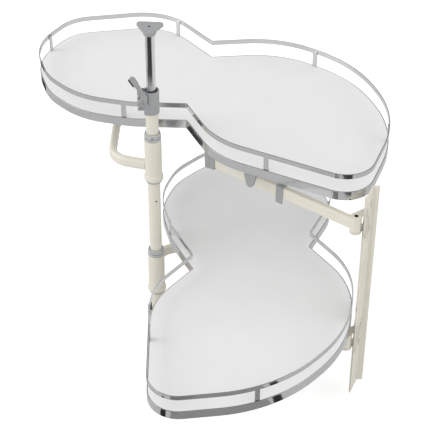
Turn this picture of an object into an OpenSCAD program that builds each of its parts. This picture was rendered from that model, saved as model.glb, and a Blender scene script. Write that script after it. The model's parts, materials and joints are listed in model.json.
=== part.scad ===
/* [Post] */
// Overall height from the floor to the top pad
post_h = 728; // [690:1:800]
// Outer diameter of the painted post tube
post_d = 25; // [22:0.5:30]
// Wall of the painted post tube
post_wall = 2; // [1.5:0.1:2.5]
// Top end of the painted post tube
post_top_z = 576; // [560:1:600]
// Outer diameter of the chrome inner tube
inner_d = 18; // [16:0.5:20]
// Length of inner tube kept inside the post tube
inner_overlap = 130; // [90:1:200]
// How far the inner tube can be pushed down from here
slide_down = 60; // [20:1:90]
// How far the inner tube can be pulled up from here
slide_up = 40; // [10:1:60]
// Turn of the top pad about the post
pad_turn = 14; // [0:1:60]
// Turn of the foot plate about the post
foot_turn = 288; // [250:1:330]

/* [Trays] */
// Underside of the upper tray's rim
upper_tray_z = 483; // [470:0.5:500]
// Drop from the upper tray to the lower one
tray_drop = 286.7; // [270:0.1:310]
// Thickness of the white board
board_t = 16; // [12:1:19]
// Height of the deep lower rim strip
rim_h = 18.5; // [17:0.5:26]
// Height of the narrow upper rim strip
rail_h = 9.5; // [7:0.5:14]
// Overall height of the gallery, from strip to strip
gallery_h = 57; // [48:0.5:75]
// Thickness of both strips
strip_t = 2; // [1.2:0.1:2.5]
// Width of an upright
upright_w = 10; // [6:0.5:14]

/* [Linkage] */
// Distance from the post to the hinge pin on the rail, along the cabinet front
rail_x = 433.5; // [420:0.5:445]
// How far the hinge pin lies in front of the post
rail_y = 102; // [92:0.5:110]
// Turn of a tray between parked and fully out
tray_turn = 61.8; // [50:0.1:65]
// Height of the section of arm and lever
bar_h = 24; // [20:0.5:28]
// Thickness of the arm's section
arm_t = 15; // [12:0.5:18]
// Thickness of the guide lever's section
lever_t = 12; // [8:0.5:14]
// Centre of the arm below the tray rim's underside
arm_drop = 69; // [64:0.5:78]
// Top of the guide lever below the tray rim's underside
lever_drop = 25; // [22:0.5:32]

/* [Rail] */
// Lower end of the rail above the floor
rail_low_z = 22; // [0:1:60]
// Upper end of the rail above the floor
rail_top_z = 508; // [500:1:540]
// Depth of the rail's web
web_w = 45; // [42:1:52]
// Thickness of the rail's sheet
sheet_t = 2; // [1.5:0.1:2.5]

/* [Hidden] */
$fn = 48;

// Colours, as the photo shows them
cream = [0.87, 0.85, 0.76];
steel = [0.78, 0.79, 0.80];
grey = [0.55, 0.56, 0.57];
white = [0.93, 0.93, 0.93];
dark = [0.25, 0.24, 0.22];

// Clearances
run = 0.05;   // radial, of a turning or sliding fit
gap = 0.4;    // between parts that only pass or stand side by side
seat = 0.2;   // round the board

// Tray outline, outer face of the strips, with the post's axis as origin: corner x, y and corner radius
outline = [[445, -100, 59], [457, 138, 289], [328, 307, 279], [157, 358, 204], [24, 300, 3],
  [-111, 396, 119], [-295, 299, 85], [-324, 167, 154], [-247, 61, 136], [-158, 13, 172],
  [-53, 20, 130], [53, 49, 3], [143, -50, 159]];
// Pivot points of a parked tray: on the arm, and on the guide lever
arm_pivot = [-85, 191];
lever_pivot = [114, 12.8];
hinge_point = [rail_x, -rail_y];

// ---- Plane geometry -------------------------------------------------------
function unit(v) = v / norm(v);
function left_of(v) = [-v[1], v[0]];
function cross2(a, b) = a[0] * b[1] - a[1] * b[0];
function heading(v) = atan2(v[1], v[0]);
function turned(v, a) = [v[0] * cos(a) - v[1] * sin(a), v[0] * sin(a) + v[1] * cos(a)];
function xy(p) = [p[0], p[1]];
function at(list, i) = list[(i + len(list)) % len(list)];
function meet(p, u, q, v) = p + u * cross2(q - p, v) / cross2(u, v);

// Direction of the edge that starts at corner i, and the turn made at corner i
function edge_dir(c, i) = unit(xy(at(c, i + 1)) - xy(at(c, i)));
function turn_at(c, i) =
  let (u = edge_dir(c, i - 1), v = edge_dir(c, i)) atan2(cross2(u, v), u * v);
function edge_len(c, i) = norm(xy(at(c, i + 1)) - xy(at(c, i)));
// A radius that still leaves each edge half of its length
function fitted_radius(c, i) =
  min(c[i][2], min(edge_len(c, i - 1), edge_len(c, i)) / 2 / tan(abs(turn_at(c, i)) / 2));
function fitted(c) = [for (i = [0 : len(c) - 1]) [c[i][0], c[i][1], fitted_radius(c, i)]];
// The same outline with its edges moved in by d, arcs staying concentric
function inset(c, d) = [for (i = [0 : len(c) - 1])
  let (u = edge_dir(c, i - 1), v = edge_dir(c, i),
       p = meet(xy(c[i]) + left_of(u) * d, u, xy(c[i]) + left_of(v) * d, v),
       s = turn_at(c, i) > 0 ? -d : d)
  [p[0], p[1], max(c[i][2] + s, 0.5)]];
// Points of the rounded outline
function arc_points(c, i) =
  let (u = edge_dir(c, i - 1), v = edge_dir(c, i), t = turn_at(c, i), r = c[i][2],
       s = sign(t), start = xy(c[i]) - u * r * tan(abs(t) / 2),
       centre = start + left_of(u) * r * s, steps = max(1, ceil(abs(t) * sqrt(r) / 60)))
  [for (k = [0 : steps]) centre + turned(start - centre, t * k / steps)];
function rounded(c) = [for (i = [0 : len(c) - 1]) each arc_points(c, i)];

// ---- The four-bar linkage of a tray -------------------------------------------
// Post, arm pivot, guide lever pivot and hinge pin make a four-bar. The tray is its coupler.
// It is closed for the tray's whole turn, which gives the arm's swing and the lever's swing.
arm_len = norm(arm_pivot);
lever_len = norm(lever_pivot - hinge_point);
coupler = turned(lever_pivot - arm_pivot, -tray_turn) - hinge_point;
closing = acos((lever_len ^ 2 - arm_len ^ 2 - coupler * coupler) / (2 * arm_len * norm(coupler)));
function wrapped(a) = a - 360 * round(a / 360);
arm_swing = wrapped(heading(coupler) - closing - heading(arm_pivot));
lever_out = turned(arm_pivot, arm_swing) + turned(lever_pivot - arm_pivot, -tray_turn);
lever_swing = wrapped(heading(lever_out - hinge_point) - heading(lever_pivot - hinge_point));
// Constant ratios that hold at both ends of the travel
tray_on_lever = -tray_turn - lever_swing;
tray_ratio = tray_on_lever / arm_swing;
lever_ratio = lever_swing / arm_swing;
echo(arm_swing = arm_swing, tray_ratio = tray_ratio, lever_swing = lever_swing,
     lever_ratio = lever_ratio, lever_out = lever_out, tray_on_lever = tray_on_lever);

// Place children that belong to the arm, the tray or the lever of a set: 0 is the upper, parked
// set and 1 is the lower set, swung fully out
function drop(set) = -set * tray_drop;
module on_arm(set) translate([0, 0, drop(set)]) rotate(set * arm_swing) children();
module on_lever(set) translate([hinge_point[0], hinge_point[1], drop(set)])
  rotate(set * lever_swing) translate(-hinge_point) children();
module on_tray(set) on_lever(set)
  translate(lever_pivot) rotate(set * tray_on_lever) translate(-lever_pivot) children();
module on_post(set) translate([0, 0, drop(set)]) children();

// ---- Small shapes ---------------------------------------------------------------
module ring(r_out, r_in, h) difference() {
  cylinder(r = r_out, h = h);
  translate([0, 0, -1]) cylinder(r = r_in, h = h + 2);
}
// A bar with half-round long edges, from a to b in plan, standing on z = 0
module oval_bar(a, b, t, h) translate(a) rotate(heading(b - a)) rotate([90, 0, 90])
  linear_extrude(norm(b - a)) oval(t, h);
module oval(t, h) {
  translate([-t / 2, t / 2]) square([t, h - t]);
  translate([0, t / 2]) circle(d = t);
  translate([0, h - t / 2]) circle(d = t);
}
// A quarter or other bend of the same section: centre, radius, start heading and turn
module oval_bend(centre, r, from, sweep, t, h) translate(centre) rotate(from)
  rotate_extrude(angle = sweep) translate([r, 0]) oval(t, h);
// A pan-head screw: head downwards, shank up
module screw(head_d, head_h, shank_d, shank_l) {
  difference() {
    cylinder(d = head_d, h = head_h);
    for (a = [0, 90]) rotate(a) translate([-head_d / 4, -0.5, -0.1]) cube([head_d / 2, 1, head_h / 2]);
  }
  translate([0, 0, head_h]) cylinder(d = shank_d, h = shank_l);
}
// Three-lobed plate of the pad and the foot
lobe_r = 8;        // corner radius
lobe_reach = 20;   // from the centre to a corner's arc centre
plate_t = 5;       // thickness of the pad and of the foot plate
module lobed_plate(h) linear_extrude(h) {
  polygon([for (i = [0 : 2], k = [0 : 8]) let (a = 90 + i * 120, b = a - 60 + k * 15)
    [lobe_reach * cos(a) + lobe_r * cos(b), lobe_reach * sin(a) + lobe_r * sin(b)]]);
}

// ---- Post ---------------------------------------------------------------------------
post_r = post_d / 2;
cup_r = 21;        // outside of the foot's cup
cup_h = 41;        // height of the cup above the plate
cup_wall = 2.5;
cup_gap = 100;     // angle of the cup's open side
cup_sill = 12;     // height of the wall that stays below the open side
cup_turn = 20;     // its direction about the post
foot_screw_r = lobe_reach + 4.5;
foot_screw_d = 4;
boss_wall = 2.6;   // of the ring that holds the tube in the cup
boss_rise = 9;     // and its height above the plate
module foot_plate() color(grey) difference() {
  union() {
    difference() {
      union() {
        rotate(foot_turn) lobed_plate(plate_t);
        cylinder(r = cup_r, h = plate_t + cup_h);
      }
      translate([0, 0, plate_t]) cylinder(r = cup_r - cup_wall, h = cup_h + 1);
      rotate(cup_turn) translate([0, 0, plate_t + cup_sill])
        linear_extrude(cup_h) polygon([[0, 0], for (s = [-1, 1]) 2 * cup_r * [cos(cup_gap / 2), s * sin(cup_gap / 2)]]);
    }
    translate([0, 0, plate_t / 2]) cylinder(r = post_r + boss_wall, h = plate_t / 2 + boss_rise);
  }
  translate([0, 0, plate_t]) cylinder(r = post_r, h = cup_h);
  foot_screw_places() translate([0, 0, -1]) cylinder(d = foot_screw_d, h = plate_t + 2);
}
module foot_screw_places() for (a = [90, 210, 330]) rotate(foot_turn + a)
  translate([foot_screw_r, 0, 0]) children();

lock_z = 334;        // the locking screw's height
lock_d = 4;          // its diameter
lock_turn = -52;     // its direction about the post
module post_tube() color(cream) difference() {
  translate([0, 0, plate_t]) cylinder(r = post_r, h = post_top_z - plate_t);
  translate([0, 0, plate_t - 1]) cylinder(r = post_r - post_wall, h = post_top_z);
  translate([0, 0, lock_z]) rotate([0, 90, lock_turn]) cylinder(d = lock_d, h = post_d);
  // Saw cut that lets the clamp close the tube
  rotate(clamp_turn) translate([0, -1, post_top_z - clamp_h + 8]) cube([post_d, 2, clamp_h]);
}
module post_screw() color(dark) translate([0, 0, lock_z]) rotate([0, 90, lock_turn])
  translate([0, 0, post_r - post_wall]) difference() {
    cylinder(d = lock_d, h = post_wall - 0.5);
    translate([0, 0, 0.5]) cylinder(d = 2, h = post_wall, $fn = 6);
  }

// Guide bush between the two tubes, in the mouth of the post tube
bush_lip_t = 1.5;
tube_bush_h = 24;
module tube_bush() color(grey) difference() {
  union() {
    translate([0, 0, post_top_z - tube_bush_h]) cylinder(r = post_r - post_wall, h = tube_bush_h);
    translate([0, 0, post_top_z]) cylinder(r = post_r - 0.5, h = bush_lip_t);
  }
  translate([0, 0, post_top_z - tube_bush_h - 1]) cylinder(r = inner_d / 2 + run, h = tube_bush_h + bush_lip_t + 2);
}

inner_low_z = post_top_z - inner_overlap;
sleeve_fit_h = 30;   // guide bush at the lower end of the inner tube
module inner_tube() color(steel) difference() {
  union() {
    translate([0, 0, inner_low_z]) cylinder(d = inner_d, h = post_h - plate_t - inner_low_z);
    translate([0, 0, inner_low_z]) cylinder(r = post_r - post_wall - run, h = sleeve_fit_h);
  }
  translate([0, 0, inner_low_z - 1]) cylinder(d = inner_d - 3, h = post_h);
}
hub_h = 12;          // tapered hub under the pad
hub_top_r = 15.5;
hub_low_r = 11.5;
module top_pad() color(grey) difference() {
  union() {
    translate([0, 0, post_h - plate_t]) rotate(pad_turn + 180) lobed_plate(plate_t);
    translate([0, 0, post_h - plate_t - hub_h]) cylinder(r1 = hub_low_r, r2 = hub_top_r, h = hub_h);
  }
  translate([0, 0, post_h - plate_t - hub_h - 1]) cylinder(d = inner_d, h = hub_h + 1);
  translate([0, 0, post_h - plate_t - 1]) cylinder(d = top_screw_d, h = plate_t + 2);
}
top_screw_d = 5;
module top_screw() color(dark) translate([0, 0, post_h - plate_t - 3]) difference() {
  cylinder(d = top_screw_d, h = plate_t + 2);
  translate([0, 0, plate_t]) cylinder(d = 3, h = 4, $fn = 6);
}

// ---- Clamp at the top of the post tube ---------------------------------------
// An open ring with two ears. A cam lever on its front closes it, over a bolt through both ears.
clamp_h = 49;
clamp_low_z = 541;      // lower end of the ring
clamp_wall = 2.6;
clamp_turn = 198;       // direction of its opening
clamp_gap = 7;          // width of the opening
ear_reach = 24;         // from the post's axis to the ear's end
ear_t = 2.6;
ear_low = 7;            // below the ear, within the ring's height
ear_h = 40;
bolt_u = 16;            // bolt axis from the post's axis, along the opening
bolt_z = 572;
bolt_d = 4;
shoulder_d = 6;         // of the bolt between the front ear and the lever
boss_u = 9;             // oval boss on the ring's front: its middle, width and height
boss_w = 10;
boss_h = 28;
ear_face = clamp_gap / 2 + ear_t;
lever_face = post_r + clamp_wall + gap;    // back of the lever, in front of the ring
cam_t = 4;              // thickness of the lever
nut_t = 3;
module at_bolt() translate([0, 0, bolt_z]) rotate(clamp_turn) translate([bolt_u, 0, 0]) rotate([-90, 0, 0]) children();
// Oval boss below the lever, with extra room all round where something passes it
module boss(extra = 0) translate([boss_u, 0, -extra]) rotate([-90, 0, 0]) mirror([0, 1, 0])
  linear_extrude(post_r + clamp_wall) oval(boss_w + 2 * extra, boss_h + 2 * extra);
module clamp_ring() color(grey) difference() {
  translate([0, 0, clamp_low_z]) rotate(clamp_turn) difference() {
    union() {
      cylinder(r = post_r + clamp_wall, h = clamp_h);
      for (s = [-1, 1]) translate([post_r, s * (clamp_gap + ear_t) / 2 - ear_t / 2, ear_low])
        cube([ear_reach - post_r, ear_t, ear_h]);
      boss();
    }
    translate([0, 0, -1]) cylinder(r = post_r, h = clamp_h + 2);
    translate([0, -clamp_gap / 2, -1]) cube([post_d, clamp_gap, clamp_h + 2]);
  }
  at_bolt() cylinder(d = bolt_d, h = 4 * post_d, center = true);
  at_bolt() translate([0, 0, ear_face]) cylinder(d = shoulder_d + 2 * gap, h = post_d);
  at_bolt() translate([0, 0, -ear_face - post_d]) cylinder(d = 9 + 2 * gap, h = post_d);
}
module clamp_bolt() color(steel) at_bolt() {
  translate([0, 0, -ear_face - nut_t]) cylinder(d = bolt_d, h = ear_face + nut_t + lever_face + cam_t + 1);
  translate([0, 0, ear_face + strip_thick]) cylinder(d = shoulder_d, h = lever_face - ear_face - strip_thick - run);
  translate([0, 0, lever_face + cam_t + run]) cylinder(d = 7, h = 1.5);
}
module clamp_nut() color(steel) at_bolt() translate([0, 0, -ear_face - nut_t]) difference() {
  cylinder(d = 8, h = nut_t, $fn = 6);
  translate([0, 0, -1]) cylinder(d = bolt_d, h = nut_t + 2);
}
// The lever stands open, up and away from the post
lever_tilt = 30;        // of the handle, from the vertical
handle_start = 16;      // from the bolt's axis to the foot of the handle
handle_l = 46;
handle_w = 9;
cam_r = 9;              // round end of the lever, on the bolt
module in_lever() translate([0, 0, bolt_z]) rotate(clamp_turn) translate([bolt_u, lever_face + cam_t, 0])
  rotate([90, 0, 0]) children();
module clamp_lever() color(grey) in_lever() difference() {
  union() {
    cylinder(r = cam_r, h = cam_t);
    translate([-cam_r, 0, 0]) cube([2 * cam_r - 4, handle_start, cam_t]);
    translate([-cam_r + handle_w / 2 + 0.5, handle_start - 3, 0]) rotate(-lever_tilt) {
      translate([-handle_w / 2, 0, 0]) cube([handle_w, handle_l, cam_t]);
      cylinder(d = handle_w, h = cam_t);
      translate([0, handle_l, 0]) cylinder(d = handle_w, h = cam_t);
    }
  }
  translate([0, 0, -1]) cylinder(d = bolt_d + 2 * run, h = cam_t + 2);
}
// Dark grip under the handle's end
grip_r = 7;
grip_l = 14;
grip_t = 3;
grip_side = 2.5;        // beside the handle's middle
module lever_grip() color(dark) in_lever() translate([-cam_r + handle_w / 2 + 0.5, handle_start - 3, cam_t])
  rotate(-lever_tilt) translate([grip_side, handle_l - grip_l, 0]) {
    cylinder(r = grip_r, h = grip_t);
    translate([-grip_r, 0, 0]) cube([2 * grip_r, grip_l, grip_t]);
  }
// Toothed catch on the front ear
strip_thick = 1.6;
strip_u = 18.5;         // its inner edge, from the post's axis
strip_w = 8;
strip_h = 50;
strip_windows = 4;
module catch_strip() color(steel) difference() {
  translate([0, 0, clamp_low_z]) rotate(clamp_turn) translate([bolt_u - 3, ear_face, ear_low]) difference() {
    cube([strip_u + strip_w - bolt_u + 3, strip_thick, strip_h]);
    for (i = [0 : strip_windows - 1]) translate([strip_u - bolt_u + 5.5, -1, 4 + i * strip_h / strip_windows])
      cube([strip_w - 4, strip_thick + 2, strip_h / strip_windows - 5]);
  }
  at_bolt() cylinder(d = bolt_d, h = post_d);
  translate([0, 0, clamp_low_z - 1]) cylinder(r = post_r + clamp_wall, h = clamp_h + 2);
  translate([0, 0, clamp_low_z]) rotate(clamp_turn) boss(gap);
}

// ---- Rail and its brackets -----------------------------------------------------
rail_in = 16.5;     // from the hinge pin to the web's front edge, along the cabinet front
rail_front = 4;     // and towards the front
web_turn = 86;      // heading of the web
lip_w = 11;        // front lip, folded back
lip_turn = 30;      // angle between lip and web
flange_w = 12;      // rear flange
flange_turn = 18;   // heading of the rear flange
front_edge = hinge_point + [rail_in, -rail_front];
function web_point(x, y = 0) = front_edge + turned([x, y], web_turn);
slot_w = 5;
slot_h = 12;
hook_rise = 26;     // hooks above and below the bracket's middle
screw_hole_d = 5;
back_start = lip_w * cos(lip_turn) + gap;      // the bracket's back plate begins behind the lip
hook_back = [back_start + slot_w / 2, 38];     // places of the hook slots along the web
screw_zs = [51, 248, 347];
bracket_z = upper_tray_z - lever_drop - bar_h / 2;   // middle of the upper bracket
// Along the web from its front edge: x runs back, y towards the hinge pin
module on_web() translate(front_edge) rotate(web_turn) children();
// Section of the rail: lip, web and flange, their outer faces through these points
lip_end = lip_w * [cos(lip_turn), sin(lip_turn)];
flange_dir = [cos(flange_turn - web_turn), sin(flange_turn - web_turn)];
flange_end = [web_w, 0] + flange_w * flange_dir;
flange_back = sheet_t * left_of(flange_dir);
module guide_rail() color(cream) difference() {
  on_web() translate([0, 0, rail_low_z]) linear_extrude(rail_top_z - rail_low_z)
    polygon([lip_end, [0, 0], [web_w, 0], flange_end, flange_end + flange_back,
      meet([web_w, 0] + flange_back, flange_dir, [0, sheet_t], [1, 0]), [lip_end[0], sheet_t]]);
  for (set = [0, 1], s = [-1, 1], x = hook_back) translate([0, 0, bracket_z + drop(set) + s * hook_rise])
    on_web() translate([x - slot_w / 2, -5, -slot_h / 2]) cube([slot_w, 10, slot_h]);
  for (z = screw_zs) translate([0, 0, z]) on_web() translate([web_w / 2, 0, 0])
    rotate([90, 0, 0]) cylinder(d = screw_hole_d, h = 10, center = true);
}

eye_r = 10.3;
eye_h = bar_h + 6;
lug_r = 10.8;
lug_t = 3;
pin_d = 8;
lug_z = eye_h / 2 + gap;
back_in = 3;        // back plate's ends, inside the web's edges
hook_drop = 3;      // how far a hook reaches down behind the web
hook_t = 2;
module bracket(set) color(cream) translate([0, 0, bracket_z + drop(set)]) difference() {
  union() {
    for (s = [-1, 1]) translate([0, 0, s * (lug_z + lug_t / 2) - lug_t / 2]) {
      translate(hinge_point) cylinder(r = lug_r, h = lug_t);
      linear_extrude(lug_t) polygon([hinge_point + [0, -5], web_point(back_start, lip_end[1] + gap),
        web_point(back_start, sheet_t + 1), web_point(web_w - back_in, sheet_t + 1),
        hinge_point + [-6, lug_r - 2]]);
    }
    on_web() translate([back_start, sheet_t, -hook_rise - slot_h / 2])
      cube([web_w - back_in - back_start, lug_t, 2 * hook_rise + slot_h]);
    for (s = [-1, 1], x = hook_back) on_web()
      translate([x - slot_w / 2 + gap / 2, -gap / 2 - hook_t, s * hook_rise - slot_h / 2 + hook_drop]) {
        cube([slot_w - gap, sheet_t + gap / 2 + hook_t + 1, slot_h - hook_drop - gap]);
        translate([0, 0, -hook_drop - 1]) cube([slot_w - gap, hook_t, slot_h - hook_drop]);
      }
  }
  translate([hinge_point[0], hinge_point[1], -lug_z - lug_t - 1]) cylinder(d = pin_d, h = 2 * (lug_z + lug_t + 1));
}
module hinge_pin(set) color(steel) translate([hinge_point[0], hinge_point[1], bracket_z + drop(set)])
  difference() {
    translate([0, 0, -lug_z - lug_t]) cylinder(d = pin_d, h = 2 * (lug_z + lug_t));
    translate([0, 0, lug_z + lug_t - 4]) cylinder(d = 5.5, h = 5, $fn = 6);
  }

// ---- Sleeve and arm -----------------------------------------------------------------
sleeve_r = 17;
sleeve_wall = 2;
sleeve_drop = 101;         // lower end of the sleeve below the tray rim's underside
sleeve_low_z = upper_tray_z - sleeve_drop;
sleeve_h = 96;
flare = 2.2;           // of the lower lip, and the heights of its three parts
flare_low = 3;
flare_h = 6;
flare_top = 7;
flange_t = 1.6;        // bush flange under and over the sleeve
stop_r = sleeve_r - 0.6; // ring that carries the sleeve, and its thickness
stop_t = 1.8;
collar_h = 14.4;
module stop_ring(set) on_post(set) color(grey) translate([0, 0, sleeve_low_z - flange_t - gap / 2 - stop_t])
  ring(stop_r, post_r, stop_t);
module sleeve(set) on_arm(set) color(cream) translate([0, 0, sleeve_low_z]) difference() {
  union() {
    cylinder(r = sleeve_r, h = sleeve_h);
    // Flared lower lip
    cylinder(r1 = sleeve_r, r2 = sleeve_r + flare, h = flare_low);
    translate([0, 0, flare_low]) cylinder(r = sleeve_r + flare, h = flare_h);
    translate([0, 0, flare_low + flare_h]) cylinder(r1 = sleeve_r + flare, r2 = sleeve_r, h = flare_top);
  }
  translate([0, 0, -1]) cylinder(r = sleeve_r - sleeve_wall, h = sleeve_h + 2);
}
bush_h = 22;
module bush(set, z, s) on_arm(set) color(grey) translate([0, 0, z]) scale([1, 1, s]) difference() {
  union() {
    cylinder(r = sleeve_r - sleeve_wall, h = bush_h);
    translate([0, 0, -flange_t]) cylinder(r = sleeve_r - 0.8, h = flange_t);
  }
  translate([0, 0, -flange_t - 1]) cylinder(r = post_r + run, h = bush_h + flange_t + 2);
}
collar_in = post_r + 1.2;
collar_r = 16.4;
collar_low = 4;        // lower band, the groove above it and the upper band
collar_waist = 2.2;
collar_band = 3.6;
collar_groove = 2.2;   // depth of the groove
collar_neck = 1.2;     // how far the neck on top steps in
snap_gap = 3.4;
snap_over = 0.4;       // the gap's cut reaches this far past the upper band
module collar(set) on_arm(set) color(grey) translate([0, 0, sleeve_low_z + sleeve_h + flange_t]) difference() {
  union() {
    cylinder(r = collar_r, h = collar_low);
    translate([0, 0, collar_low]) cylinder(r = collar_r - collar_groove, h = collar_waist);
    translate([0, 0, collar_low + collar_waist]) cylinder(r = collar_r, h = collar_band);
    translate([0, 0, collar_low + collar_waist + collar_band])
      cylinder(r = collar_r - collar_neck, h = collar_h - collar_low - collar_waist - collar_band);
  }
  translate([0, 0, -1]) cylinder(r = collar_in, h = collar_h + 2);
  // Gap between the ends of the snap ring
  rotate(clamp_turn + 90) translate([collar_in - 1, -snap_gap / 2, collar_low + collar_waist - snap_over])
    cube([collar_r, snap_gap, collar_band + 2 * snap_over]);
}

arm_z = upper_tray_z - arm_drop - bar_h / 2;      // underside of the upper arm
arm_head = 182.5;      // heading of the stretch that leaves the sleeve
arm_first = 53;        // length of that stretch, from the post's axis
arm_bend_r = 45;
arm_back = 106.6;        // heading of the stretch that runs to the back
arm_tube_r = 14;       // vertical tube round the arm's pivot
arm_tube_drop = 12.5;  // top of that tube below the tray rim
arm_tube_top = upper_tray_z - arm_tube_drop;
arm_bore_r = 8;
// The two bends: centres and ends follow from the headings
first_end = arm_first * [cos(arm_head), sin(arm_head)];
first_centre = first_end + arm_bend_r * [cos(arm_head - 90), sin(arm_head - 90)];
bend_end = first_centre + arm_bend_r * [cos(arm_back + 90), sin(arm_back + 90)];
arm_knee_l = 102;
lap = 1;                // how far a straight stretch reaches into a bend
shy = 0.05;             // a straight stretch is this much slimmer all round, inside the bends
// The knee: where the two stretches would meet, and the bend that rounds it
knee = bend_end + arm_knee_l * [cos(arm_back), sin(arm_back)];
knee_r = 24;
knee_in = unit(knee - bend_end);
knee_out = unit(arm_pivot - knee);
knee_turn = arm_back - heading(knee_out);
knee_cut = knee_r * tan(knee_turn / 2);
knee_centre = knee - knee_in * knee_cut - left_of(knee_in) * knee_r;
module straight(a, b) translate([0, 0, arm_z + shy]) oval_bar(a, b, arm_t - 2 * shy, bar_h - 2 * shy);
module arm(set) on_arm(set) color(cream) difference() {
  union() {
    straight(unit(first_end) * (sleeve_r - 1), first_end + unit(first_end) * lap);
    translate([0, 0, arm_z]) oval_bend(first_centre, arm_bend_r, arm_back + 90, arm_head - arm_back, arm_t, bar_h);
    straight(bend_end - knee_in * lap, knee - knee_in * (knee_cut - lap));
    translate([0, 0, arm_z]) oval_bend(knee_centre, knee_r, heading(knee_out) + 90, knee_turn, arm_t, bar_h);
    straight(knee + knee_out * (knee_cut - lap), arm_pivot - knee_out * (arm_tube_r - 2));
    translate([arm_pivot[0], arm_pivot[1], arm_z]) cylinder(r = arm_tube_r, h = arm_tube_top - arm_z);
  }
  translate([0, 0, arm_z - 1]) cylinder(r = sleeve_r, h = bar_h + 2);
  translate([arm_pivot[0], arm_pivot[1], arm_z - 1]) cylinder(r = arm_bore_r, h = arm_tube_top);
}

// ---- Pivot between arm and tray --------------------------------------------------------
board_low_z = upper_tray_z + rim_h - board_t;    // underside of the upper board
pivot_pin_r = 6;        // shaft that the arm's bush is made for
pivot_flange_t = 2;
pivot_plate_r = 34;
pivot_plate_t = 3;
pivot_hub_r = 12;
pivot_screws = 4;
pivot_screw_pcd = 50;
plate_screw_d = 4;
module pivot_bush(set) on_arm(set) color(grey) translate([arm_pivot[0], arm_pivot[1], 0]) difference() {
  union() {
    translate([0, 0, arm_z]) cylinder(r = arm_bore_r, h = arm_tube_top - arm_z);
    translate([0, 0, arm_tube_top]) cylinder(r = arm_tube_r, h = pivot_flange_t);
  }
  translate([0, 0, arm_z - 1]) cylinder(r = pivot_pin_r + run, h = arm_tube_top + pivot_flange_t - arm_z + 2);
}
// The hub ends just above the arm's bush: this is the joint where the closed linkage is opened
hub_low_z = arm_tube_top + pivot_flange_t + gap;
module pivot_plate(set) on_tray(set) color(cream) difference() {
  translate([arm_pivot[0], arm_pivot[1], 0]) {
    translate([0, 0, board_low_z - pivot_plate_t]) cylinder(r = pivot_plate_r, h = pivot_plate_t);
    translate([0, 0, hub_low_z]) cylinder(r = pivot_hub_r, h = board_low_z - hub_low_z);
  }
  pivot_screw_places() translate([0, 0, board_low_z - pivot_plate_t - 1])
    cylinder(d = plate_screw_d, h = pivot_plate_t + 2);
}
module pivot_screw_places() translate(arm_pivot) for (i = [0 : pivot_screws - 1])
  rotate(45 + i * 360 / pivot_screws) translate([pivot_screw_pcd / 2, 0, 0]) children();

// ---- Pin plate under the board, for the guide lever -------------------------------------
// Its pin reaches down into the barrel at the lever's end
tray_pin_r = 4;
pin_plate_w = 24;
pin_plate_l = 62;
pin_plate_t = 3;
pin_plate_turn = 42;         // heading of the plate, in from the tray's edge
module in_pin_plate() translate(lever_pivot) rotate(pin_plate_turn) children();
module pin_plate(set) on_tray(set) color(cream) difference() {
  in_pin_plate() translate([0, 0, board_low_z - pin_plate_t]) {
    cylinder(d = pin_plate_w, h = pin_plate_t);
    translate([0, -pin_plate_w / 2, 0]) cube([pin_plate_l - pin_plate_w / 2, pin_plate_w, pin_plate_t]);
  }
  pin_screw_places() translate([0, 0, board_low_z - pin_plate_t - 1])
    cylinder(d = plate_screw_d, h = pin_plate_t + 2);
  in_pin_plate() translate([0, 0, board_low_z - pin_plate_t - 1]) cylinder(r = tray_pin_r, h = pin_plate_t + 2);
}
tray_pin_grip = 8;           // of the pin in the board
module tray_pin(set) on_tray(set) color(steel) in_pin_plate()
  translate([0, 0, lever_z + gap]) cylinder(r = tray_pin_r, h = board_low_z + tray_pin_grip - lever_z - gap);
pin_screw_near = 22;         // rows of screws, from the pin and from the plate's far end
pin_screw_far = 20;
pin_screw_side = 6;          // and to either side
module pin_screw_places() in_pin_plate() for (x = [pin_screw_near, pin_plate_l - pin_screw_far], s = [-1, 1])
  translate([x, s * pin_screw_side, 0]) children();
screw_grip = 10;             // of the plate screws in the board
module plate_screws(set) on_tray(set) color(steel) {
  pivot_screw_places() translate([0, 0, board_low_z - pivot_plate_t - 2]) screw(7.5, 2, plate_screw_d, screw_grip);
  pin_screw_places() translate([0, 0, board_low_z - pin_plate_t - 2]) screw(7.5, 2, plate_screw_d, screw_grip);
}

// ---- Guide lever -----------------------------------------------------------------
lever_z = bracket_z - bar_h / 2;        // underside of the upper lever
lever_dir = unit(lever_pivot - hinge_point);
cap_r = 10.5;                           // of the barrel at the lever's end
cap_drop = 3;                           // barrel below the bar
cap_clear = 1;                          // barrel below the tray's pin plate
cap_socket = 16;                        // how far the cap takes the bar in
bar_end = lever_len - 8;
module along_lever() translate(hinge_point) rotate(heading(lever_dir)) children();
module lever(set) on_lever(set) color(cream) difference() {
  along_lever() {
    translate([eye_r - 2, 0, lever_z]) rotate([90, 0, 90]) linear_extrude(bar_end - eye_r + 2) bar_section();
    translate([0, 0, bracket_z - eye_h / 2]) cylinder(r = eye_r, h = eye_h);
  }
  along_lever() translate([0, 0, bracket_z - eye_h]) cylinder(r = pin_d / 2 + run, h = 2 * eye_h);
}
bar_round = 2.5;                        // edge radius of the lever's bar
module bar_section() {
  translate([-lever_t / 2, bar_round]) square([lever_t, bar_h - 2 * bar_round]);
  translate([-lever_t / 2 + bar_round, 0]) square([lever_t - 2 * bar_round, bar_h]);
  for (x = [-1, 1], z = [bar_round, bar_h - bar_round])
    translate([x * (lever_t / 2 - bar_round), z]) circle(r = bar_round);
}
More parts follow.
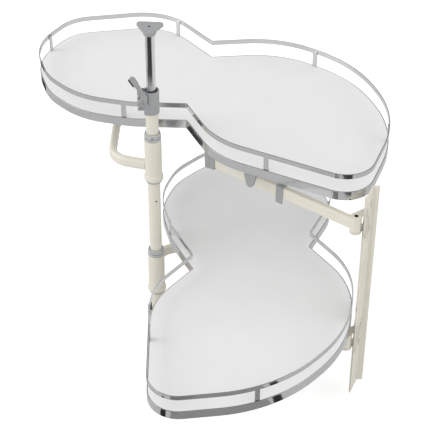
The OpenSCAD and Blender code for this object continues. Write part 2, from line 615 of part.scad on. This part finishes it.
module lever_cap(set) on_lever(set) color(grey) along_lever() difference() {
  union() {
    translate([lever_len, 0, lever_z - cap_drop])
      cylinder(r = cap_r, h = board_low_z - pin_plate_t - cap_clear - lever_z + cap_drop);
    translate([lever_len - cap_socket, -cap_r + 2, lever_z - cap_drop])
      cube([cap_socket, 2 * cap_r - 4, bar_h + 2 * cap_drop]);
  }
  translate([0, 0, lever_z]) rotate([90, 0, 90]) linear_extrude(bar_end) bar_section();
  translate([lever_len, 0, lever_z]) cylinder(r = tray_pin_r + run, h = board_low_z - lever_z);
}
clip_at = 160;                          // from the hinge pin
clip_w = 15;
clip_t = 2;
clip_tail = 12;                         // front leg below the bar
module bumper_clip(set) on_lever(set) color(grey) along_lever() translate([clip_at, 0, lever_z]) {
  // Front leg, bridge over the bar and short rear leg
  translate([0, lever_t / 2 + gap / 2, -clip_tail]) cube([clip_w, clip_t, bar_h + clip_tail]);
  translate([0, -lever_t / 2 - clip_t, bar_h - 10]) cube([clip_w, clip_t, 10]);
  translate([0, -lever_t / 2 - clip_t, bar_h]) cube([clip_w, lever_t + 2 * clip_t + gap / 2, clip_t]);
  // Foot that grips the bar's front
  translate([0, lever_t / 2, bar_h / 2 - 3]) cube([clip_w, gap, 6]);
}

// ---- Stop hook under the rim -------------------------------------------------------
hook_edge = 12;          // outline edge that carries the hook, from the last corner to the first
hook_along = 74;         // from that edge's first corner
hook_out = 0.5;          // front of the hook behind the strip's outer face
hook_w = 24;
hook_tip_w = 15;
hook_len = 33;           // below the rim strip
hook_d = 9;
module stop_hook(set) on_tray(set) color(grey) translate(xy(outline[hook_edge]))
  rotate(heading(edge_dir(outline, hook_edge))) translate([hook_along, hook_d + hook_out + hook_inset, 0])
  rotate([90, 0, 0]) linear_extrude(hook_d) {
    polygon([[-hook_w / 2, board_low_z], [-hook_w / 2, hook_low_z + hook_len * 0.7],
      [-hook_tip_w / 2, hook_low_z + hook_tip_w / 2], [hook_tip_w / 2, hook_low_z + hook_tip_w / 2],
      [hook_w / 2, hook_low_z + hook_len * 0.7], [hook_w / 2, board_low_z]]);
    translate([0, hook_low_z + hook_tip_w / 2]) circle(d = hook_tip_w);
  }
hook_inset = strip_t + 0.5;
hook_low_z = upper_tray_z - hook_len;

// ---- Tray: board, strips, uprights ------------------------------------------------
outer = fitted(outline);
inner = inset(outer, strip_t);
upright_t = 2;           // thickness of an upright
upright_low = 6;         // lower end above the rim strip's underside
upright_top = 3;         // upper end below the top of the gallery
upright_off = 0.3;       // between upright and strip, the weld's thickness
middle = [40, 175];      // between the two notches
upright_at = [-49, -10, 38, 121, 173, 235];   // directions of the uprights, seen from the middle
// Point and heading where a line from the middle meets the strips' inner face
strip_points = rounded(inner);
function crossings(a) = [for (i = [0 : len(strip_points) - 1])
  let (p = strip_points[i], w = at(strip_points, i + 1) - p, u = [cos(a), sin(a)],
       t = cross2(p - middle, w) / cross2(u, w), share = cross2(p - middle, u) / cross2(u, w))
  if (t > 0 && share >= 0 && share < 1) [middle + u * t, heading(w)]];
module upright_places() for (a = upright_at) let (c = crossings(a)[0])
  translate(c[0]) rotate(c[1]) translate([0, upright_off, 0]) children();
module board(set) on_tray(set) color(white) translate([0, 0, board_low_z]) difference() {
  linear_extrude(board_t) polygon(rounded(inset(inner, seat)));
  upright_places() translate([-upright_w / 2 - seat, -5, -1]) cube([upright_w + 2 * seat, 5 + upright_t + seat, board_t + 2]);
  translate([0, 0, -1]) {
    pivot_screw_places() cylinder(d = plate_screw_d, h = screw_hole_h);
    pin_screw_places() cylinder(d = plate_screw_d, h = screw_hole_h);
    in_pin_plate() cylinder(r = tray_pin_r, h = tray_pin_grip + 1);
  }
}
screw_hole_h = 1 + screw_grip - pivot_plate_t;
module strip(set, z, h) on_tray(set) color(steel) translate([0, 0, upper_tray_z + z]) linear_extrude(h)
  difference() {
    polygon(rounded(outer));
    polygon(rounded(inner));
  }
module uprights(set) on_tray(set) color(steel) upright_places()
  translate([-upright_w / 2, 0, upper_tray_z + upright_low])
    cube([upright_w, upright_t, gallery_h - upright_low - upright_top]);

foot_plate();
post_tube();
post_screw();
tube_bush();
inner_tube();
top_pad();
top_screw();
clamp_ring();
clamp_bolt();
clamp_nut();
clamp_lever();
lever_grip();
catch_strip();
guide_rail();
bracket(0);  // upper_bracket
bracket(1);  // lower_bracket
hinge_pin(0);  // upper_hinge_pin
hinge_pin(1);  // lower_hinge_pin
for (set = [0, 1]) let (p = set == 0 ? "upper" : "lower") {
  stop_ring(set);
  sleeve(set);
  bush(set, sleeve_low_z + sleeve_h, -1);
  bush(set, sleeve_low_z, 1);
  collar(set);
  arm(set);
  pivot_bush(set);
  pivot_plate(set);
  plate_screws(set);
  pin_plate(set);
  tray_pin(set);
  lever(set);
  lever_cap(set);
  bumper_clip(set);
  stop_hook(set);
  board(set);
  strip(set, 0, rim_h);
  strip(set, gallery_h - rail_h, rail_h);
  uprights(set);
}
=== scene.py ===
"""The swing-out fitting of a blind-corner cabinet: a post, two kidney-shaped trays and a guide rail."""

import json
import math

import bmesh
import bpy
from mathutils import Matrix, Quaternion, Vector


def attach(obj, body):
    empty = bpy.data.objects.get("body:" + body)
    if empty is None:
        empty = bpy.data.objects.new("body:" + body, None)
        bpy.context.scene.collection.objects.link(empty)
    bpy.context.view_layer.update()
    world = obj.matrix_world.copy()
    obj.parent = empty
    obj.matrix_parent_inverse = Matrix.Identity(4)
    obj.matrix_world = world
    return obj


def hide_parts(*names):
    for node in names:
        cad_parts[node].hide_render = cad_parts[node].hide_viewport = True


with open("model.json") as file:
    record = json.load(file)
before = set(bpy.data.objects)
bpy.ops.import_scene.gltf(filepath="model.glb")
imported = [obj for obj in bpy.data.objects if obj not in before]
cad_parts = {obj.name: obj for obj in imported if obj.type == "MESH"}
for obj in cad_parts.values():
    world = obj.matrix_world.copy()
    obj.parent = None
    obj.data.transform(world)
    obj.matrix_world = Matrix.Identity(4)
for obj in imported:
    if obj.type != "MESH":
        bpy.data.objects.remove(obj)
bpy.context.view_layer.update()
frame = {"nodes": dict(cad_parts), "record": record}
mm = 0.001


# ---- Studio --------------------------------------------------------------------------------------
# A photographer's white floor under a dim ceiling, lit by a broad soft lamp on each side and a weak
# one in front. Grey and black cards on the floor, which only gloss can see, give the chrome its
# dark bands. The camera stands where the photograph was taken from.
camera_place = Vector((0.790, -2.035, 1.934))
camera_turn = math.radians(18)         # about the post, away from straight in front
camera_tilt = math.radians(36.5)       # looking down
camera_roll = math.radians(0.18)
camera_lens = 111.9                    # millimetres, as the film width is
camera_film = 36
camera_rise = -0.0272                  # the photograph's frame sits a little below the lens axis
camera_reach = 40.0
floor_side = 14.0
floor_tone = 0.72
floor_drift = 1.01                     # a blotch of the floor is this much paler than the rest
floor_blotch = 0.6
floor_lift = 0.45                      # brightness added to what is seen of the floor
world_tone = 0.92                      # what the air around lights the object with
ceiling_tone = 0.22                    # what is seen of the air overhead
ceiling_starts = 0.25                  # upward share of a direction where the air begins to dim
ceiling_full = 0.65                    # and where it has dimmed fully
noise_low, noise_high = 0.25, 0.75     # soft noise stays mostly between these

bpy.ops.object.camera_add(location=camera_place)
camera = bpy.context.object
camera.name = "photo_camera"
sight = Vector((-math.sin(camera_turn) * math.cos(camera_tilt),
                math.cos(camera_turn) * math.cos(camera_tilt),
                -math.sin(camera_tilt)))
camera.rotation_mode = "QUATERNION"
camera.rotation_quaternion = sight.to_track_quat("-Z", "Y") @ Quaternion((0, 0, 1), camera_roll)
camera.data.lens = camera_lens
camera.data.sensor_width = camera_film
camera.data.shift_y = camera_rise
camera.data.clip_end = camera_reach
bpy.context.scene.camera = camera
bpy.context.scene.view_settings.view_transform = "Standard"


class Wire:
    """One socket of a material, so that shader maths reads as an ordinary expression."""

    def __init__(self, finish, socket):
        self.finish, self.socket = finish, socket

    def maths(self, operation, first, second):
        return self.finish.add("ShaderNodeMath", {"operation": operation}, {0: first, 1: second})

    def __add__(self, other):
        return self.maths("ADD", self, other)

    def __mul__(self, other):
        return self.maths("MULTIPLY", self, other)

    def __rsub__(self, other):
        return self.maths("SUBTRACT", other, self)

    __radd__ = __add__
    __rmul__ = __mul__

    def most(self, other):
        return self.maths("MAXIMUM", self, other)


class Finish:
    """A material or a world, built one node at a time."""

    def __init__(self, name, holder=None):
        self.holder = holder or bpy.data.materials.new(name)
        self.holder.use_nodes = True
        self.tree = self.holder.node_tree
        self.tree.nodes.clear()

    def add(self, kind, settings=None, sockets=None, output=0):
        node = self.tree.nodes.new(kind)
        for name, value in (settings or {}).items():
            if name == "stops":
                self.set_stops(node, value)
            else:
                setattr(node, name, value)
        for key, value in (sockets or {}).items():
            if isinstance(value, Wire):
                self.tree.links.new(value.socket, node.inputs[key])
            else:
                node.inputs[key].default_value = value
        return Wire(self, node.outputs[output]) if node.outputs else node

    def set_stops(self, node, stops):
        ramp = node.color_ramp
        while len(ramp.elements) < len(stops):
            ramp.elements.new(1.0)
        for element, (place, tone) in zip(ramp.elements, stops):
            element.position = place
            element.color = (*tone, 1.0)

    def point(self):
        return self.add("ShaderNodeTexCoord", output="Object")

    def noise(self, size, detail=2.0, stretch=(1, 1, 1)):
        """Soft noise whose blotches are about size metres across, drawn out by stretch."""
        place = self.add("ShaderNodeMapping", {}, {"Vector": self.point(), "Scale": stretch})
        return self.add("ShaderNodeTexNoise", {}, {
            "Vector": place, "Scale": 1 / size, "Detail": detail})

    def shades(self, mask, low, high):
        """A colour that runs from low to high with mask."""
        stops = [(noise_low, low), (noise_high, high)]
        return self.add("ShaderNodeValToRGB", {"stops": stops}, {"Fac": mask})

    def bump(self, height, depth, strength=1.0):
        return self.add("ShaderNodeBump", {}, {
            "Height": height, "Distance": depth, "Strength": strength})

    def surface(self, **sockets):
        named = {name.replace("_", " "): value for name, value in sockets.items()}
        shader = self.add("ShaderNodeBsdfPrincipled", {}, named)
        self.add("ShaderNodeOutputMaterial", {}, {"Surface": shader})
        return self.holder

    def seen_plainly(self):
        """1 for what the camera, metal and glass see, and 0 for the light that the floor gives off."""
        path = self.add("ShaderNodeLightPath", output="Is Camera Ray")
        rays = path.socket.node.outputs
        mirrored = Wire(self, rays["Is Glossy Ray"]).most(Wire(self, rays["Is Transmission Ray"]))
        return path.most(mirrored)


def studio_floor():
    paint = Finish("studio_floor")
    drift = paint.noise(floor_blotch)
    matt = paint.add("ShaderNodeBsdfDiffuse", {}, {
        "Color": paint.shades(drift, (floor_tone,) * 3, (floor_tone * floor_drift,) * 3)})
    glow = paint.add("ShaderNodeEmission", {}, {"Strength": paint.seen_plainly() * floor_lift})
    both = paint.add("ShaderNodeAddShader", {}, {0: matt, 1: glow})
    paint.add("ShaderNodeOutputMaterial", {}, {"Surface": both})
    return paint.holder


def lamp(name, place, target, side, power):
    bpy.ops.object.light_add(type="AREA", location=place)
    light = bpy.context.object
    light.name = name
    light.data.shape = "SQUARE"
    light.data.size = side
    light.data.energy = power
    light.rotation_euler = (Vector(target) - Vector(place)).to_track_quat("-Z", "Y").to_euler()


bpy.ops.mesh.primitive_plane_add(size=floor_side, location=(0, 0, 0))
floor = bpy.context.object
floor.name = "floor"
floor.data.materials.append(studio_floor())

lamp("left_lamp", place=(-2.4, -0.9, 2.1), target=(0.1, 0.0, 0.35), side=2.2, power=29)
lamp("right_lamp", place=(2.7, 0.0, 1.9), target=(0.1, 0.0, 0.30), side=2.0, power=10)
lamp("front_lamp", place=(0.3, -3.0, 1.0), target=(0.1, 0.0, 0.30), side=2.0, power=6)

world = bpy.data.worlds.new("studio_air")
bpy.context.scene.world = world
air = Finish("studio_air", world)
plain = air.seen_plainly()
direction = air.add("ShaderNodeTexCoord", output="Generated")
upward = air.add("ShaderNodeSeparateXYZ", {}, {0: direction}, output="Z")
overhead = air.add("ShaderNodeMapRange", {"interpolation_type": "SMOOTHSTEP"}, {
    "Value": upward, "From Min": ceiling_starts, "From Max": ceiling_full,
    "To Min": 1.0, "To Max": ceiling_tone})
strength = plain * overhead + (1 - plain) * world_tone
sky = air.add("ShaderNodeBackground", {}, {"Color": (1, 1, 1, 1), "Strength": strength})
air.add("ShaderNodeOutputWorld", {}, {"Surface": sky})


def dark_card(name, middle, length, width, turn, tone, height=1 * mm):
    """A card that lies on the floor beside the object. Only metal and gloss can see it."""
    paint = Finish(name)
    glow = paint.add("ShaderNodeEmission", {}, {"Color": (tone, tone, tone, 1)})
    paint.add("ShaderNodeOutputMaterial", {}, {"Surface": glow})
    bpy.ops.mesh.primitive_plane_add(size=1, location=(*middle, height),
                                     rotation=(0, 0, math.radians(turn)))
    card = bpy.context.object
    card.name = name
    card.scale = (length, width, 1)
    bpy.ops.object.transform_apply(location=True, rotation=True, scale=True)
    card.data.materials.append(paint.holder)
    card.visible_camera = card.visible_diffuse = card.visible_shadow = False


dark_card("floor_card", (0.0, 0.0), 3.6, 3.6, turn=0, tone=0.62, height=0.5 * mm)
dark_card("front_card", (0.38, -0.58), 0.46, 0.20, turn=32, tone=0.33)
dark_card("front_card_end", (0.045, -0.60), 0.07, 0.08, turn=0, tone=0.02)
dark_card("side_card", (0.575, -0.385), 0.045, 0.12, turn=50, tone=0.03)
dark_card("notch_card", (0.26, -0.75), 0.23, 0.20, turn=5, tone=0.22)
dark_card("left_card", (-0.88, 0.68), 0.10, 0.20, turn=40, tone=0.02)
dark_card("notch_side_card", (-0.588, 0.322), 0.110, 0.065, turn=-47, tone=0.01)
dark_card("notch_rail_card", (-0.660, 0.340), 0.055, 0.040, turn=-47, tone=0.01)

# Three cards in an arc before the post give the chrome tube its dark middle stripe
tube_cards_at = 1.32                   # from the post
for bearing in (-26, 6, 38):
    angle = math.radians(bearing)
    place = (tube_cards_at * math.sin(angle), -tube_cards_at * math.cos(angle))
    dark_card(f"tube_card_{bearing}", place, 0.76, 0.64, turn=bearing, tone=0.05)


# ---- Foot ----------------------------------------------------------------------------------------
# The moulded foot that the post stands in: a three-lobed plate with a cup that is open on one
# side. It is grey glass-filled plastic with a fine eroded texture and softly rounded edges.
bodies = frame["record"]["behaviour"]["bodies"]
home = {node: body for body, members in bodies.items() for node in members}


def only(piece):
    """Leaves one object selected and active, ready for an operator."""
    bpy.ops.object.select_all(action="DESELECT")
    piece.select_set(True)
    bpy.context.view_layer.objects.active = piece


def settle(piece, body, finish, nodes=()):
    """Gives a finished piece its material and its body, and hides the solids that it stands for."""
    piece.data.materials.clear()
    piece.data.materials.append(finish)
    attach(piece, body)
    if nodes:
        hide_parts(*nodes)
    return piece


sharp_edge = math.radians(38)          # an edge that turns by more is rolled over
smooth_edge = math.radians(34)         # an edge that turns by less is shaded round
same_point = 0.002 * mm
same_plane = math.radians(0.4)
fold_length = 60 * mm                  # a fold of a sheet is longer than this, and upright
fold_rise = 0.9                        # share of a fold's length that is height
fold_turns = 4


def softened(node, name, edge, finish, turns=2, bends=0.0):
    """The solid's own shape with its outward edges rolled over by edge metres, as pressing, moulding
    or plating leaves them. bends is the radius of the long upright folds of a sheet."""
    original = frame["nodes"][node]
    mesh = original.data.copy()
    piece = bpy.data.objects.new(name, mesh)
    bpy.context.scene.collection.objects.link(piece)
    only(piece)
    bpy.ops.object.mode_set(mode="EDIT")
    bpy.ops.mesh.select_all(action="SELECT")
    bpy.ops.mesh.remove_doubles(threshold=same_point)
    bpy.ops.mesh.dissolve_limited(angle_limit=same_plane, delimit=set())
    if bends:
        bpy.ops.mesh.select_mode(type="EDGE")
        bpy.ops.mesh.select_all(action="DESELECT")
        bpy.ops.object.mode_set(mode="OBJECT")
        for line in mesh.edges:
            run = mesh.vertices[line.vertices[1]].co - mesh.vertices[line.vertices[0]].co
            line.select = abs(run.z) > fold_rise * run.length and run.length > fold_length
        bpy.ops.object.mode_set(mode="EDIT")
        bpy.ops.mesh.bevel(offset=bends, segments=fold_turns, affect="EDGES")
    bpy.ops.object.mode_set(mode="OBJECT")
    # Only outward edges are rolled: inner corners stay crisp
    shape = bmesh.new()
    shape.from_mesh(mesh)
    weight = shape.edges.layers.float.new("bevel_weight_edge")
    for line in shape.edges:
        if line.is_manifold and line.is_convex and line.calc_face_angle() > sharp_edge:
            line[weight] = 1.0
    shape.to_mesh(mesh)
    shape.free()
    roll = piece.modifiers.new("rolled_edges", "BEVEL")
    roll.width = edge
    roll.segments = turns
    roll.limit_method = "WEIGHT"
    bpy.ops.object.modifier_apply(modifier=roll.name)
    bpy.ops.object.shade_smooth_by_angle(angle=smooth_edge)
    flats = piece.modifiers.new("flats_stay_flat", "WEIGHTED_NORMAL")
    flats.keep_sharp = True
    bpy.ops.object.modifier_apply(modifier=flats.name)
    return settle(piece, home[node], finish, [node])


grey_tone = (0.315, 0.320, 0.325)


def moulded_grey(name, tone, rough):
    """Grey moulded plastic: a fine eroded grain and faint flow marks."""
    paint = Finish(name)
    flow = paint.noise(24 * mm, 3)
    grain = paint.noise(0.35 * mm, 2)
    return paint.surface(
        Base_Color=paint.shades(flow, tone, tuple(part * 1.08 for part in tone)),
        Roughness=rough + 0.10 * flow,
        Normal=paint.bump(grain, 0.02 * mm, 0.5))


grey = moulded_grey("moulded_grey", grey_tone, rough=0.40)
softened("foot_plate", "foot", 0.6 * mm, grey)


# ---- Post ----------------------------------------------------------------------------------------
# The outer post is steel tube, powder coated in a warm off-white. Its surface has the fine ripple
# of baked powder. A small blackened grub screw locks the height from the front right.
cream_tone = (0.735, 0.705, 0.610)
oxide_tone = (0.020, 0.014, 0.012)
rubbed_tone = (0.060, 0.035, 0.028)


def cream_powder():
    """Baked powder coat: orange-peel ripple, a satin gloss and a hardly visible drift in tone."""
    paint = Finish("cream_powder")
    drift = paint.noise(60 * mm, 3)
    peel = paint.noise(1.6 * mm, 2)
    dust = paint.noise(0.3 * mm, 1)
    return paint.surface(
        Base_Color=paint.shades(drift, tuple(tone * 0.97 for tone in cream_tone), cream_tone),
        Roughness=0.30 + 0.08 * drift + 0.05 * dust,
        Coat_Weight=0.15, Coat_Roughness=0.12,
        Normal=paint.bump(peel, 0.03 * mm, 0.35))


def blackened_steel():
    """Dark oxide on a small screw, with brown glints where it is rubbed."""
    paint = Finish("blackened_steel")
    rub = paint.noise(0.8 * mm, 3)
    return paint.surface(
        Base_Color=paint.shades(rub, oxide_tone, rubbed_tone),
        Metallic=0.7, Roughness=0.40 + 0.15 * rub)


cream = cream_powder()
black = blackened_steel()
softened("post_tube", "outer_post", 0.3 * mm, cream)
softened("post_screw", "lock_screw", 0.15 * mm, black)


# ---- Inner tube ----------------------------------------------------------------------------------
# The chromed inner tube telescopes out of the post through a grey bush, and carries the pad that
# presses against the cabinet's top. Drawing has left very faint lengthwise lines in the chrome.
chrome_tone = (0.70, 0.705, 0.715)
zinc_dull = (0.46, 0.465, 0.47)
zinc_bright = (0.58, 0.585, 0.59)


def chrome_plate(name, stretch):
    """Bright chrome: nearly a mirror, with drawing lines and a slow waviness along the metal; the
    waviness also dims its colour in slow bands of painted reflection.
    """
    paint = Finish(name)
    lines = paint.noise(0.8 * mm, 2, stretch)
    waviness_and_reflection = paint.noise(45 * mm, 1)
    return paint.surface(
        # the colour dims and brightens with the waviness: slow bands of painted reflection
        Base_Color=paint.shades(waviness_and_reflection, tuple(tone * 0.95 for tone in chrome_tone), chrome_tone),
        Metallic=1.0, Roughness=0.06 + 0.05 * lines,
        Normal=paint.bump(waviness_and_reflection + lines * 0.002, 0.25 * mm, 0.4))


def zinc_plate():
    """Zinc-plated small steel parts: a dull silver with a fine turned grain."""
    paint = Finish("zinc_plate")
    cloud = paint.noise(3 * mm, 3)
    grain = paint.noise(0.25 * mm, 2)
    return paint.surface(
        Base_Color=paint.shades(cloud, zinc_dull, zinc_bright),
        Metallic=1.0, Roughness=0.28 + 0.12 * cloud,
        Normal=paint.bump(grain, 0.01 * mm, 0.5))


drawn_chrome = chrome_plate("drawn_chrome", stretch=(1, 1, 0.02))
zinc = zinc_plate()
softened("tube_bush", "mouth_bush", 0.4 * mm, grey)
softened("inner_tube", "telescopic_tube", 0.5 * mm, drawn_chrome)
softened("top_pad", "ceiling_pad", 1.2 * mm, grey, turns=3)
softened("top_screw", "pad_screw", 0.3 * mm, black)


# ---- Clamp ---------------------------------------------------------------------------------------
# The clamp squeezes the post round the inner tube. Its grey ring has two ears with a bolt through
# them, a cam lever on the bolt whose paddle is painted near-black as the shade in its hollow, and a
# toothed steel catch behind the lever.
# near-black tones painted on the lever's paddle as the shade in its hollow
paddle_shade_low = (0.045, 0.045, 0.047)
paddle_shade_high = (0.065, 0.065, 0.067)


def paddle_painted_shade():
    """Near-black colour of the lever's paddle: painted shade for the shadow in its hollow underside."""
    paint = Finish("paddle_painted_shade")
    grain = paint.noise(0.4 * mm, 2)
    return paint.surface(
        Base_Color=paint.shades(grain, paddle_shade_low, paddle_shade_high),
        Roughness=0.38 + 0.12 * grain,
        Normal=paint.bump(grain, 0.02 * mm, 0.5))


dark = paddle_painted_shade()
softened("clamp_ring", "clamp_body", 0.6 * mm, grey)
softened("clamp_lever", "cam_lever", 0.6 * mm, grey, turns=3)
# the lever's paddle is painted near-black, standing for the shade in its hollow
softened("lever_grip", "cam_lever_shaded_paddle", 0.9 * mm, dark, turns=3)
softened("clamp_bolt", "clamp_screw", 0.4 * mm, zinc)
softened("clamp_nut", "clamp_hex_nut", 0.3 * mm, zinc)
softened("catch_strip", "toothed_catch", 0.3 * mm, zinc)


# ---- Rail ----------------------------------------------------------------------------------------
# The rail on the other side of the opening is one folded strip of sheet steel, powder coated: a
# front lip, a web with the hook slots and screw holes, and a rear flange. The brackets hang in it.
softened("guide_rail", "slotted_rail", 0.25 * mm, cream, bends=1.4 * mm)
for tier in ("upper", "lower"):
    softened(f"{tier}_bracket", f"{tier}_hook_bracket", 0.3 * mm, cream)
    softened(f"{tier}_hinge_pin", f"{tier}_socket_pin", 0.3 * mm, black)


# ---- Sleeve and arm ------------------------------------------------------------------------------
# Each tray swings on a welded arm: a sleeve with a flared lower lip that turns on the post between
# grey bushes, a bent flat-oval tube, and a short upright tube at its end for the tray's pivot.
ring_tone = (0.46, 0.465, 0.47)
polished = moulded_grey("polished_grey", ring_tone, rough=0.18)
for tier in ("upper", "lower"):
    softened(f"{tier}_stop_ring", f"{tier}_rest_ring", 0.5 * mm, polished)
    softened(f"{tier}_sleeve", f"{tier}_turning_sleeve", 0.5 * mm, cream)
    softened(f"{tier}_top_bush", f"{tier}_upper_bearing", 0.4 * mm, grey)
    softened(f"{tier}_bottom_bush", f"{tier}_lower_bearing", 0.4 * mm, grey)
    softened(f"{tier}_collar", f"{tier}_snap_collar", 0.4 * mm, polished)
    softened(f"{tier}_arm", f"{tier}_bent_arm", 0.4 * mm, cream)
    softened(f"{tier}_pivot_bush", f"{tier}_pivot_bearing", 0.4 * mm, grey)


# ---- Tray fittings -------------------------------------------------------------------------------
# Under each board sit the pivot plate with its stub shaft, the guide lever's pin plate, their
# pan-head screws and the grey hook that meets the lever when the tray is home.
for tier in ("upper", "lower"):
    softened(f"{tier}_pivot_plate", f"{tier}_shaft_plate", 0.4 * mm, cream)
    softened(f"{tier}_plate_screws", f"{tier}_pan_screws", 0.3 * mm, zinc)
    softened(f"{tier}_pin_plate", f"{tier}_guide_plate", 0.4 * mm, cream)
    softened(f"{tier}_tray_pin", f"{tier}_guide_pin", 0.4 * mm, zinc)
    softened(f"{tier}_stop_hook", f"{tier}_rim_hook", 1.2 * mm, grey, turns=3)


# ---- Guide lever ---------------------------------------------------------------------------------
# The guide lever ties the tray to the rail: a rectangular tube with a welded eye at the rail's pin
# and a grey barrel-shaped cap at the tray's end. A grey clip on it takes the tray's knocks.
for tier in ("upper", "lower"):
    softened(f"{tier}_lever", f"{tier}_guide_bar", 0.4 * mm, cream)
    softened(f"{tier}_lever_cap", f"{tier}_barrel_cap", 0.8 * mm, grey)
    softened(f"{tier}_bumper_clip", f"{tier}_bar_clip", 0.5 * mm, grey)


# ---- Tray ----------------------------------------------------------------------------------------
# The tray is a white melamine board in a chromed gallery: a deep strip round the board's edge, a
# narrow strip above it as the rail, and six flat uprights welded between them.
board_low = (0.765, 0.765, 0.765)
board_high = (0.79, 0.79, 0.79)


def white_melamine():
    """Smooth white melamine: a soft gloss, an almost invisible pearl texture."""
    paint = Finish("white_melamine")
    cloud = paint.noise(90 * mm, 2)
    pearl = paint.noise(0.7 * mm, 2)
    return paint.surface(
        Base_Color=paint.shades(cloud, board_low, board_high),
        Roughness=0.32 + 0.06 * cloud,
        Normal=paint.bump(pearl, 0.01 * mm, 0.3))


white = white_melamine()
strip_chrome = chrome_plate("strip_chrome", stretch=(0.05, 0.05, 1))
for tier in ("upper", "lower"):
    softened(f"{tier}_board", f"{tier}_melamine_board", 0.8 * mm, white)
    softened(f"{tier}_rim_strip", f"{tier}_deep_strip", 0.5 * mm, strip_chrome)
    softened(f"{tier}_rail_strip", f"{tier}_narrow_strip", 0.5 * mm, strip_chrome)
    softened(f"{tier}_uprights", f"{tier}_flat_uprights", 0.4 * mm, strip_chrome)
